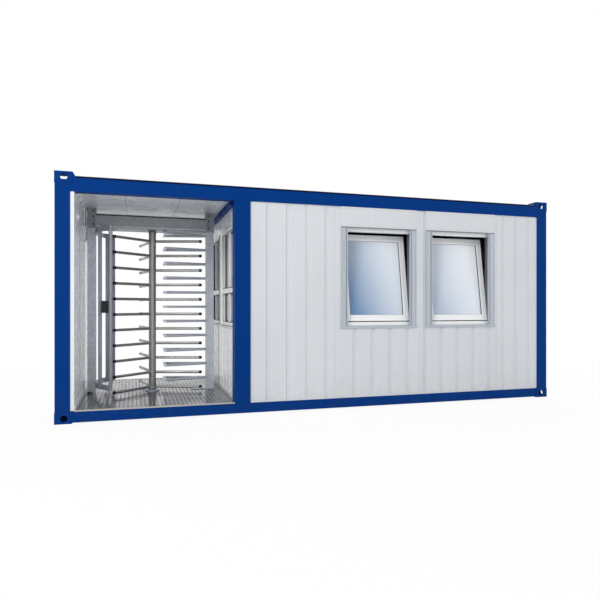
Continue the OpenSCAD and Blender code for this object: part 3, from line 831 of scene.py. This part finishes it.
def finish_bay():
    low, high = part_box("bay_floor_plate")
    partition_low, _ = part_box("partition")
    rail_low, rail_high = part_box("front_bottom_rail")
    lozenges = Piece()
    bearing_low, bearing_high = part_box("rotor_floor_bearing")
    bearing_r = (bearing_high.x - bearing_low.x) / 2 + TREAD_L / 2
    tread_high = Vector((partition_low.x, high.y, high.z))
    tread_pattern(lozenges, low, tread_high, (bearing_low + bearing_high) / 2, bearing_r)
    lozenges.done("tread_lozenges", "tread_plate")

    post_low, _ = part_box("front_middle_post")
    strips = Piece()
    for side in (-1, 1):
        ys = sorted((side * (high.y - 0.012), side * (-rail_low.y - 0.001)))
        strips.box((low.x, ys[0], rail_high.z + 0.0005), (post_low.x, ys[1], high.z + 0.003))
    strips.done("threshold_strips", "threshold", "tread_plate", bevel=0.002)

    lining_low, lining_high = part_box("bay_lining")
    ceiling_low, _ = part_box("ceiling_panels")
    face = lining_high.x

    trims = Piece()
    for side in (-1, 1):
        ys = sorted((side * (lining_high.y + 0.0005), side * (lining_high.y + 0.018)))
        trims.box((lining_low.x + 0.061, ys[0], high.z), (face + 0.001, ys[1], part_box("left_end_wall")[1].z))
    trims.done("lining_front_trims", "strip_metal", "lining_panel", bevel=0.003)

    def on_lining(u, d, v):
        return (face + d, u, v)

    seams = Piece()
    for y in LINING_SEAMS:
        seams.slab(on_lining, (y - 0.004, -0.001, high.z), (y + 0.004, 0.001, ceiling_low.z))
    for x in CEILING_SEAMS:
        seams.box((x - 0.003, -1.05, ceiling_low.z - 0.001), (x + 0.003, 1.05, ceiling_low.z + 0.001))
    seams.done("panel_seams", "joint", "lining_panel")

    skirting = Piece()
    skirting.slab(on_lining, (lining_low.y, -0.001, high.z), (lining_high.y, 0.010, high.z + 0.06))
    skirting.done("lining_skirting", "lining_panel", bevel=0.003)

    corner = Piece()
    corner.hull(*[[(face, y, ceiling_low.z), (face + COVE, y, ceiling_low.z), (face, y, ceiling_low.z - COVE)]
                  for y in (-COVE_END, COVE_END)])
    corner.done("ceiling_cove", "lining_panel")

    fixtures = Piece()
    fixtures.lathe((face - 0.001, -0.879, 2.18), (1, 0, 0), FIXTURE_PROFILE, 32)
    fixtures.slab(on_lining, (-0.219, -0.001, 2.01), (0.081, 0.028, 2.17))
    fixtures.slab(on_lining, (-0.209, 0.028, 2.02), (0.071, 0.031, 2.16))
    for y in (-0.15, 0.0):
        fixtures.rod((face + 0.012, y, 2.165), (face + 0.012, y, ceiling_low.z - 0.005), 0.010, 16)
    fixtures.done("lining_fixtures", "lining_panel", bevel=0.002, smooth=True)


def finish_partition():
    low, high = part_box("partition")
    frames_low, frames_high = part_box("partition_window_frames")
    beam_low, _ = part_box("partition_head_beam")
    floor_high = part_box("bay_floor_plate")[1]
    depth = 0.006

    def place(u, d, v):
        return (low.x - d, u, v)

    grooves = [-0.94 + GROOVE_PITCH * i for i in range(9)]
    sheets = Piece()
    sheet(sheets, place, (low.y, floor_high.z + 0.05), (high.y, frames_low.z - 0.02), grooves, depth)
    middle = (frames_low.y + frames_high.y) / 2
    half_gap = 0.095
    sheet(sheets, place, (middle - half_gap, frames_low.z - 0.02),
          (middle + half_gap, frames_high.z), [], depth)
    sheet(sheets, place, (low.y, frames_high.z), (high.y, beam_low.z), [-0.45, 0.45], depth)
    sheets.done("partition_sheets", "lining_panel")

    trims = Piece()
    trims.slab(place, (low.y, -0.001, floor_high.z), (high.y, 0.010, floor_high.z + 0.05))
    trims.slab(place, (low.y, -0.001, frames_low.z - 0.022), (high.y, 0.020, frames_low.z - 0.002))
    trims.done("partition_trims", "strip_metal", "lining_panel", bevel=0.003)

    bar, transom, transom_h = 0.050, 0.433, 0.075
    gaskets, bars = Piece(), Piece()
    for y0, y1 in ((frames_low.y, middle - half_gap), (middle + half_gap, frames_high.y)):
        foot, top = frames_low.z, frames_high.z
        gaskets.border(place, (y0 - 0.004, -0.002, foot - 0.002), (y1 + 0.004, 0.009, top + 0.004), 0.008)
        bars.border(place, (y0 + 0.004, -0.002, foot + 0.006), (y1 - 0.004, 0.014, top - 0.004), 0.022)
        centre = (y0 + y1) / 2
        panes = ((foot + bar, foot + transom - transom_h / 2), (foot + transom + transom_h / 2, top - bar))
        for v0, v1 in panes:
            gaskets.border(place, (y0 + bar - 0.007, -0.002, v0 - 0.007),
                           (y1 - bar + 0.007, 0.002, v1 + 0.007), 0.007)
            gaskets.border(place, (y0 + bar, -0.037, v0), (y1 - bar, -0.030, v1), 0.008)
            bars.slab(place, (centre - 0.028, -0.037, v0), (centre + 0.028, -0.004, v1))
            gaskets.slab(place, (centre - 0.004, -0.006, v0), (centre + 0.004, -0.003, v1))
    gaskets.done("partition_gaskets", "gasket", "window_plastic")
    bars.done("partition_window_bars", "window_plastic", bevel=0.002)


# ---------------------------------------------------------------- office windows

SASH_TILT = math.radians(8.7)
SASH_DEPTH = 0.060
SASH_BAR = 0.072
GLASS_SET = 0.018
FRAME_BAR = 0.048
GUIDE_W = 0.087


def finish_windows():
    sash_low, sash_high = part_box("window_sashes")
    pivot_z = sash_low.z + SASH_DEPTH * math.sin(SASH_TILT)
    sash_w = sash_high.x - sash_low.x - WINDOW_PITCH
    sash_h = (sash_high.z - pivot_z) / math.cos(SASH_TILT)
    frame_low, frame_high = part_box("window_frames")
    frame_w = frame_high.x - frame_low.x - WINDOW_PITCH
    gaskets, seals, beads, reveal_shades = Piece(), Piece(), Piece(), Piece()
    for i in (0, 1):
        def in_sash(u, d, v, x=sash_low.x + i * WINDOW_PITCH):
            y = sash_low.y + d * math.cos(SASH_TILT) + v * math.sin(SASH_TILT)
            return (x + u, y, pivot_z - d * math.sin(SASH_TILT) + v * math.cos(SASH_TILT))

        def in_frame(u, d, v, x=frame_low.x + i * WINDOW_PITCH):
            return (x + u, frame_low.y + d, frame_low.z + v)

        bar = SASH_BAR
        seals.border(in_sash, (bar, GLASS_SET - 0.004, bar), (sash_w - bar, GLASS_SET, sash_h - bar), 0.005)
        # Painted shade: a dark strip over the right sash stile's inner face, from the front to the glass
        gaskets.slab(in_sash, (sash_w - bar - 0.004, 0.001, bar),
                     (sash_w - bar + 0.001, GLASS_SET, sash_h - bar))
        beads.border(in_sash, (bar - 0.030, -0.004, bar - 0.030),
                     (sash_w - bar + 0.030, 0.001, sash_h - bar + 0.030), 0.022)
        frame_h = frame_high.z - frame_low.z
        for v in (0.004, frame_h - 0.030):
            beads.slab(in_frame, (0.004, -0.006, v), (frame_w - 0.004, 0.001, v + 0.026))
        # Painted shade: a dark sheet on each frame's right inner jamb, in the gap that the tilted sash opens
        reveal_shades.slab(in_frame, (frame_w - FRAME_BAR - 0.002, 0.003, FRAME_BAR),
                     (frame_w - FRAME_BAR + 0.001, 0.058, frame_h - FRAME_BAR))
    gaskets.done("window_stile_painted_shade", "reveal_painted_shade", "window_plastic")
    seals.done("window_seals", "joint", "window_plastic")
    beads.done("window_beads", "window_plastic", bevel=0.002)
    reveal_shades.done("window_reveals_painted_shade", "reveal_painted_shade", "window_plastic")

    guides_low, guides_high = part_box("shutter_guides")
    covers_low, covers_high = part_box("shutter_box_covers")
    face = guides_low.y
    lips, slots, sills, covers = Piece(), Piece(), Piece(), Piece()
    for start, end in window_spans():
        for x0, inner in ((start, 1), (end - GUIDE_W, 0)):
            for x in (x0, x0 + GUIDE_W - 0.012):
                lips.box((x, face - 0.004, guides_low.z), (x + 0.012, face + 0.001, guides_high.z))
            # Painted shade: a dark strip on each guide's face where its slot lies in shade
            slot = x0 + GUIDE_W - 0.024 if inner else x0 + 0.014
            slots.box((slot, face - 0.0008, guides_low.z + 0.01),
                      (slot + 0.010, face + 0.001, guides_high.z - 0.004))
        profile = [(face + 0.001, guides_low.z - 0.025), (face + 0.001, guides_low.z + 0.004),
                   (face - 0.008, guides_low.z - 0.004), (face - 0.008, guides_low.z - 0.025)]
        sills.hull(*[[(x, y, z) for y, z in profile] for x in (start - 0.006, end + 0.006)])
        left, right = start + 0.001, end - 0.001
        covers.box((left, face - 0.008, covers_low.z), (right, face + 0.001, covers_low.z + 0.014))
        covers.box((left, face - 0.004, covers_high.z - 0.02), (right, face + 0.001, covers_high.z - 0.001))
        # Painted shadow: a dark strip under each box cover, across the guides, where the cover casts its
        # shadow
        slots.box((left, face - 0.0045, covers_low.z - 0.011), (right, face + 0.018, covers_low.z - 0.0005))
    lips.done("guide_lips", "shutter_aluminium", bevel=0.0015)
    slots.done("shutter_slots_painted_shade", "slot_shade", "shutter_aluminium")
    sills.done("sill_noses", "shutter_aluminium", bevel=0.002)
    covers.done("box_cover_lips", "wall_panel", bevel=0.002)


# ---------------------------------------------------------------- turnstile

ARM_ANGLES = (343, 223, 103)
ARM_COUNT = 11
ARM_R = 0.017
ARM_REACH = 0.630
POST_HALF = 0.050
# Turned shapes as (radius, height): caps on the arms' tips, collars at their roots, rings on the column
CAP_PROFILE = [(0.0188, 0), (0.0192, 0.003), (0.0192, 0.026), (0.016, 0.032), (0.008, 0.034)]
CAP_BACK = 0.030
COLLAR_PROFILE = [(0.022, 0), (0.021, 0.004), (0.0175, 0.008)]
COLLAR_AT = 0.043
RING_PROFILE = [(0.0455, 0), (0.050, 0.002), (0.050, 0.022), (0.0455, 0.024)]
BEARING_BOLT_R = 0.070


def hex_bolt(piece, base, axis, size=0.010):
    piece.lathe(base, axis, [(size * 1.4, 0), (size * 1.4, 0.002)], 20)
    piece.lathe(Vector(base) + Vector(axis) * 0.002, axis, [(size, 0), (size, 0.007), (size * 0.8, 0.008)], 6)


def finish_turnstile():
    column_low, column_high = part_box("rotor_column")
    centre = (column_low + column_high) / 2
    wing_low, wing_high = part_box("rotor_wing_left")
    floor_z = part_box("bay_floor_plate")[1].z
    pitch = (wing_high.z - wing_low.z - 2 * ARM_R) / (ARM_COUNT - 1)
    caps = Piece()
    for angle in ARM_ANGLES:
        out = Vector((math.cos(math.radians(angle)), math.sin(math.radians(angle)), 0))
        for i in range(ARM_COUNT):
            base = Vector((centre.x, centre.y, wing_low.z + ARM_R + pitch * i)) + out * (ARM_REACH - CAP_BACK)
            caps.lathe(base, out, CAP_PROFILE, 16)
    caps.done("arm_caps", "black_plastic", body=ROTOR, smooth=True)

    collars = Piece()
    for angle in ARM_ANGLES:
        out = Vector((math.cos(math.radians(angle)), math.sin(math.radians(angle)), 0))
        for i in range(ARM_COUNT):
            base = Vector((centre.x, centre.y, wing_low.z + ARM_R + pitch * i)) + out * COLLAR_AT
            collars.lathe(base, out, COLLAR_PROFILE, 16)
    for z in (floor_z + 0.022, column_high.z - 0.075):
        collars.lathe((centre.x, centre.y, z), (0, 0, 1), RING_PROFILE, 40)
    collars.done("arm_collars", "rotor_steel", "galvanised_steel", ROTOR, smooth=True)

    head_low, head_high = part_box("portal_head_box")
    ceiling_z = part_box("ceiling_panels")[0].z
    posts_low, posts_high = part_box("portal_posts")
    post_mid = (posts_high.x - posts_low.x) / 2 - POST_HALF
    sleeves, plates, dark_parts_and_shadow = Piece(), Piece(), Piece()
    for side in (-1, 1):
        x = centre.x + side * post_mid
        sleeves.box((x - 0.053, -0.075, head_low.z + 0.006), (x + 0.053, 0.075, ceiling_z))
        plates.box((x - 0.058, -0.080, head_low.z - 0.004), (x + 0.058, 0.080, head_low.z + 0.006))
        for z in (head_low.z + 0.05, head_high.z - 0.02, head_high.z + 0.05):
            hex_bolt(dark_parts_and_shadow, (x + side * -0.02, -0.075, z), (0, -1, 0), 0.007)
    # The brackets over the posts' tops take the zinc darkened as painted shade
    sleeves.done("post_head_brackets", "zinc_painted_shade", "galvanised_steel", bevel=0.002)
    plates.done("post_cap_plates", "galvanised_steel", bevel=0.002)

    lid_span_x = (centre.x - post_mid + 0.055, centre.x + post_mid - 0.055)
    # Painted shadow: black strips along the head box's top edges, where the lid's overhang casts shade
    for y0, y1 in ((head_low.y - 0.001, head_low.y + 0.004), (head_high.y - 0.004, head_high.y + 0.001)):
        dark_parts_and_shadow.box((lid_span_x[0], y0, head_high.z - 0.014), (lid_span_x[1], y1, head_high.z + 0.001))
    dark_parts_and_shadow.box((posts_low.x - 0.001, -0.100, floor_z + 0.008), (posts_low.x + 0.060, -0.070, floor_z + 0.022))
    dark_parts_and_shadow.done("portal_dark_parts_and_shadows", "black_plastic", "black_plastic")

    lid = Piece()
    lid.box((lid_span_x[0] + 0.004, head_low.y - 0.006, head_high.z + 0.001),
            (lid_span_x[1] - 0.004, head_high.y + 0.006, head_high.z + 0.009))
    for y in (head_low.y, head_high.y):
        side = -1 if y < 0 else 1
        out = y + side * 0.003
        lid.box((lid_span_x[0], min(y, out), head_low.z + 0.012), (lid_span_x[1], max(y, out), head_low.z + 0.024))
    lid.done("head_box_lid", "galvanised_steel", bevel=0.002)

    bolts = Piece()
    for side in (-1, 1):
        x = centre.x + side * post_mid
        for dx in (-0.035, 0.035):
            for dy in (-0.063, 0.063):
                hex_bolt(bolts, (x + dx, dy, floor_z + 0.010), (0, 0, 1), 0.007)
    for dx in (-0.29, -0.10):
        for dy in (-0.055, 0.055):
            hex_bolt(bolts, (centre.x + post_mid + dx, dy, floor_z + 0.010), (0, 0, 1), 0.007)
    for i in range(4):
        a = math.radians(45 + 90 * i)
        x, y = centre.x + BEARING_BOLT_R * math.cos(a), BEARING_BOLT_R * math.sin(a)
        hex_bolt(bolts, (x, y, floor_z + 0.015), (0, 0, 1), 0.006)
    bolts.done("foot_bolts", "galvanised_steel", smooth=False)

    reader_low, reader_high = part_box("card_reader")
    bezel = Piece()
    bezel.box((reader_low.x + 0.010, reader_low.y - 0.003, reader_low.z + 0.012),
              (reader_high.x - 0.010, reader_low.y + 0.001, reader_high.z - 0.012))
    bezel.lathe(((reader_low.x + reader_high.x) / 2, reader_low.y - 0.002, reader_high.z - 0.030), (0, -1, 0),
                [(0.006, 0), (0.006, 0.002), (0.004, 0.003)], 20)
    bezel.done("reader_bezel", "black_plastic", bevel=0.003)


# ---------------------------------------------------------------- rear door

# Turned shapes as (radius, height)
SPINDLE_PROFILE = [(0.012, 0), (0.011, 0.030), (0.009, 0.036)]
KEYHOLE_PROFILE = [(0.011, 0), (0.011, 0.007), (0.009, 0.008)]
HINGE_PROFILE = [(0.007, 0), (0.009, 0.002), (0.009, 0.048), (0.0075, 0.050),
                 (0.009, 0.052), (0.009, 0.098), (0.007, 0.100)]


def finish_door():
    low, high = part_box("door_leaf")
    frame_low, frame_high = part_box("door_frame")

    def place(u, d, v):
        return (high.x - u, high.y + d, low.z + v)

    width, height = high.x - low.x, high.z - low.z
    panels = Piece()
    for v0, v1 in ((0.13, 0.86), (0.98, height - 0.13)):
        panels.border(place, (0.13, -0.001, v0), (width - 0.13, 0.005, v1), 0.018)
        panels.border(place, (0.17, -0.001, v0 + 0.04), (width - 0.17, 0.003, v1 - 0.04), 0.008)
    panels.slab(place, (0.02, -0.001, 0.0), (width - 0.02, 0.012, 0.03))
    panels.done("door_mouldings", "door_paint", bevel=0.002)

    def in_frame(u, d, v):
        return (frame_high.x - u, frame_high.y + d, frame_low.z + v)

    trims, seals = Piece(), Piece()
    frame_w, frame_h = frame_high.x - frame_low.x, frame_high.z - frame_low.z
    trims.border(in_frame, (-0.02, -0.001, 0.0), (frame_w + 0.02, 0.010, frame_h + 0.02), 0.045)
    trims.slab(in_frame, (-0.03, -0.001, frame_h + 0.02), (frame_w + 0.03, 0.026, frame_h + 0.028))
    trims.done("door_trims", "door_paint", bevel=0.002)
    seals.border(place, (-0.006, -0.014, -0.006), (width + 0.006, -0.004, height + 0.006), 0.006)
    seals.done("door_seals", "gasket", "door_paint")

    handle = Piece()
    handle.slab(place, (0.030, -0.001, 0.83), (0.072, 0.007, 1.07))
    spindle = Vector(place(0.051, 0.006, 1.0))
    handle.lathe(spindle, (0, 1, 0), SPINDLE_PROFILE, 20)
    handle.rod(spindle + Vector((0.008, 0.030, 0)), spindle + Vector((-0.115, 0.032, 0)), 0.0085, 16, 0.0075)
    keyhole = Vector(place(0.051, 0.006, 0.89))
    handle.lathe(keyhole, (0, 1, 0), KEYHOLE_PROFILE, 20)
    handle.done("door_handle", "shutter_aluminium", "shutter_aluminium", bevel=0.002)

    hinges = Piece()
    for v in (0.22, 1.0, height - 0.26):
        base = Vector(place(width + 0.010, 0.006, v))
        hinges.lathe(base, (0, 0, 1), HINGE_PROFILE, 20)
        hinges.slab(place, (width - 0.030, -0.001, v + 0.055), (width + 0.006, 0.004, v + 0.095))
    hinges.done("door_hinges", "galvanised_steel", "galvanised_steel", bevel=0.001)


def build():
    add_camera()
    add_world()
    add_floor()
    for lamp in LAMPS:
        add_lamp(*lamp)
    dress_cad_nodes()
    clad_front()
    clad_rear()
    clad_ends()
    finish_roof()
    finish_frame()
    finish_bay()
    finish_partition()
    finish_windows()
    finish_turnstile()
    finish_door()


build()

view = bpy.context.scene.view_settings
view.view_transform = "Standard"
